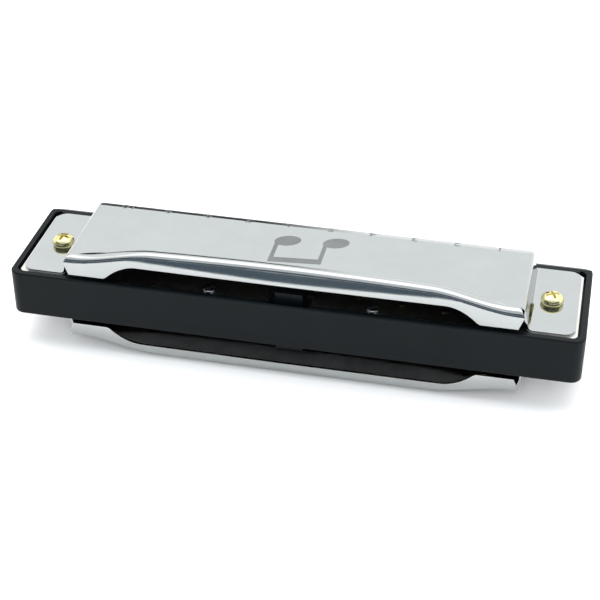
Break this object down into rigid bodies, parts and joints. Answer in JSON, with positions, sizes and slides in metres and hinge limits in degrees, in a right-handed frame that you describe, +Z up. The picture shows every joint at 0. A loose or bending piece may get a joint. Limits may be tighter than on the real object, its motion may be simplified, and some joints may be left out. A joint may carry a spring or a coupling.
{
  "type": "harmonica",
  "caption": "Diatonic harmonica: rimmed plastic comb with mouth holes, reed plates with flexing brass reeds, and pressed steel covers with a flared lip over the rear sound opening.",
  "frame": {"origin": "centre of the whole harmonica: middle of its length and depth, on the mid-plane of the comb between the blow and draw plates", "axes": "+X along the comb towards the high notes, +Y towards the rear sound opening (mouthpiece at -Y), +Z up through the blow-side cover"},
  "size_m": [0.1016, 0.0254, 0.0222],
  "materials": {
    "comb_plastic": "satin moulded black",
    "cover_steel": "polished pressed steel",
    "plate_metal": "satin",
    "reed_brass": "ground and filed",
    "plate_screw_steel": "bright",
    "screw_brass": "polished"
  },
  "bodies": {
    "harmonica_body": {"comb": "comb_plastic", "upper_reed_plate": "plate_metal", "lower_reed_plate": "plate_metal", "blow_reed_pads": "reed_brass", "draw_reed_pads": "reed_brass", "blow_reed_rivets": "reed_brass", "draw_reed_rivets": "reed_brass", "upper_plate_screws": "plate_screw_steel", "lower_plate_screws": "plate_screw_steel", "upper_cover": "cover_steel", "lower_cover": "cover_steel", "cover_screws": "screw_brass", "cover_nuts": "screw_brass"},
    "blow_reed_1": {"blow_reed_1": "reed_brass"},
    "blow_reed_2": {"blow_reed_2": "reed_brass"},
    "blow_reed_3": {"blow_reed_3": "reed_brass"},
    "blow_reed_4": {"blow_reed_4": "reed_brass"},
    "blow_reed_5": {"blow_reed_5": "reed_brass"},
    "blow_reed_6": {"blow_reed_6": "reed_brass"},
    "blow_reed_7": {"blow_reed_7": "reed_brass"},
    "blow_reed_8": {"blow_reed_8": "reed_brass"},
    "blow_reed_9": {"blow_reed_9": "reed_brass"},
    "blow_reed_10": {"blow_reed_10": "reed_brass"},
    "draw_reed_1": {"draw_reed_1": "reed_brass"},
    "draw_reed_2": {"draw_reed_2": "reed_brass"},
    "draw_reed_3": {"draw_reed_3": "reed_brass"},
    "draw_reed_4": {"draw_reed_4": "reed_brass"},
    "draw_reed_5": {"draw_reed_5": "reed_brass"},
    "draw_reed_6": {"draw_reed_6": "reed_brass"},
    "draw_reed_7": {"draw_reed_7": "reed_brass"},
    "draw_reed_8": {"draw_reed_8": "reed_brass"},
    "draw_reed_9": {"draw_reed_9": "reed_brass"},
    "draw_reed_10": {"draw_reed_10": "reed_brass"}
  },
  "joints": [
    {"name": "blow_reed_1_flex", "type": "hinge", "parent": "harmonica_body", "child": "blow_reed_1", "pos_m": [-0.0342, 0.0071, 0.00277], "axis": [1, 0, 0], "range_deg": [-4, 3], "stiffness_Nm_per_rad": 0.0328},
    {"name": "blow_reed_2_flex", "type": "hinge", "parent": "harmonica_body", "child": "blow_reed_2", "pos_m": [-0.0266, 0.0065, 0.00277], "axis": [1, 0, 0], "range_deg": [-4, 3], "stiffness_Nm_per_rad": 0.0344},
    {"name": "blow_reed_3_flex", "type": "hinge", "parent": "harmonica_body", "child": "blow_reed_3", "pos_m": [-0.019, 0.0059, 0.00277], "axis": [1, 0, 0], "range_deg": [-4, 3], "stiffness_Nm_per_rad": 0.0361},
    {"name": "blow_reed_4_flex", "type": "hinge", "parent": "harmonica_body", "child": "blow_reed_4", "pos_m": [-0.0114, 0.0053, 0.00277], "axis": [1, 0, 0], "range_deg": [-4, 3], "stiffness_Nm_per_rad": 0.0379},
    {"name": "blow_reed_5_flex", "type": "hinge", "parent": "harmonica_body", "child": "blow_reed_5", "pos_m": [-0.0038, 0.0047, 0.00277], "axis": [1, 0, 0], "range_deg": [-4, 3], "stiffness_Nm_per_rad": 0.04},
    {"name": "blow_reed_6_flex", "type": "hinge", "parent": "harmonica_body", "child": "blow_reed_6", "pos_m": [0.0038, 0.0041, 0.00277], "axis": [1, 0, 0], "range_deg": [-4, 3], "stiffness_Nm_per_rad": 0.0423},
    {"name": "blow_reed_7_flex", "type": "hinge", "parent": "harmonica_body", "child": "blow_reed_7", "pos_m": [0.0114, 0.0035, 0.00277], "axis": [1, 0, 0], "range_deg": [-4, 3], "stiffness_Nm_per_rad": 0.0449},
    {"name": "blow_reed_8_flex", "type": "hinge", "parent": "harmonica_body", "child": "blow_reed_8", "pos_m": [0.019, 0.0029, 0.00277], "axis": [1, 0, 0], "range_deg": [-4, 3], "stiffness_Nm_per_rad": 0.0478},
    {"name": "blow_reed_9_flex", "type": "hinge", "parent": "harmonica_body", "child": "blow_reed_9", "pos_m": [0.0266, 0.0023, 0.00277], "axis": [1, 0, 0], "range_deg": [-4, 3], "stiffness_Nm_per_rad": 0.0512},
    {"name": "blow_reed_10_flex", "type": "hinge", "parent": "harmonica_body", "child": "blow_reed_10", "pos_m": [0.0342, 0.0017, 0.00277], "axis": [1, 0, 0], "range_deg": [-4, 3], "stiffness_Nm_per_rad": 0.055},
    {"name": "draw_reed_1_flex", "type": "hinge", "parent": "harmonica_body", "child": "draw_reed_1", "pos_m": [-0.0342, -0.0049, -0.00393], "axis": [1, 0, 0], "range_deg": [-3, 4], "stiffness_Nm_per_rad": 0.0328},
    {"name": "draw_reed_2_flex", "type": "hinge", "parent": "harmonica_body", "child": "draw_reed_2", "pos_m": [-0.0266, -0.0049, -0.00393], "axis": [1, 0, 0], "range_deg": [-3, 4], "stiffness_Nm_per_rad": 0.0344},
    {"name": "draw_reed_3_flex", "type": "hinge", "parent": "harmonica_body", "child": "draw_reed_3", "pos_m": [-0.019, -0.0049, -0.00393], "axis": [1, 0, 0], "range_deg": [-3, 4], "stiffness_Nm_per_rad": 0.0361},
    {"name": "draw_reed_4_flex", "type": "hinge", "parent": "harmonica_body", "child": "draw_reed_4", "pos_m": [-0.0114, -0.0049, -0.00393], "axis": [1, 0, 0], "range_deg": [-3, 4], "stiffness_Nm_per_rad": 0.0379},
    {"name": "draw_reed_5_flex", "type": "hinge", "parent": "harmonica_body", "child": "draw_reed_5", "pos_m": [-0.0038, -0.0049, -0.00393], "axis": [1, 0, 0], "range_deg": [-3, 4], "stiffness_Nm_per_rad": 0.04},
    {"name": "draw_reed_6_flex", "type": "hinge", "parent": "harmonica_body", "child": "draw_reed_6", "pos_m": [0.0038, -0.0049, -0.00393], "axis": [1, 0, 0], "range_deg": [-3, 4], "stiffness_Nm_per_rad": 0.0423},
    {"name": "draw_reed_7_flex", "type": "hinge", "parent": "harmonica_body", "child": "draw_reed_7", "pos_m": [0.0114, -0.0049, -0.00393], "axis": [1, 0, 0], "range_deg": [-3, 4], "stiffness_Nm_per_rad": 0.0449},
    {"name": "draw_reed_8_flex", "type": "hinge", "parent": "harmonica_body", "child": "draw_reed_8", "pos_m": [0.019, -0.0049, -0.00393], "axis": [1, 0, 0], "range_deg": [-3, 4], "stiffness_Nm_per_rad": 0.0478},
    {"name": "draw_reed_9_flex", "type": "hinge", "parent": "harmonica_body", "child": "draw_reed_9", "pos_m": [0.0266, -0.0049, -0.00393], "axis": [1, 0, 0], "range_deg": [-3, 4], "stiffness_Nm_per_rad": 0.0512},
    {"name": "draw_reed_10_flex", "type": "hinge", "parent": "harmonica_body", "child": "draw_reed_10", "pos_m": [0.0342, -0.0049, -0.00393], "axis": [1, 0, 0], "range_deg": [-3, 4], "stiffness_Nm_per_rad": 0.055}
  ]
}
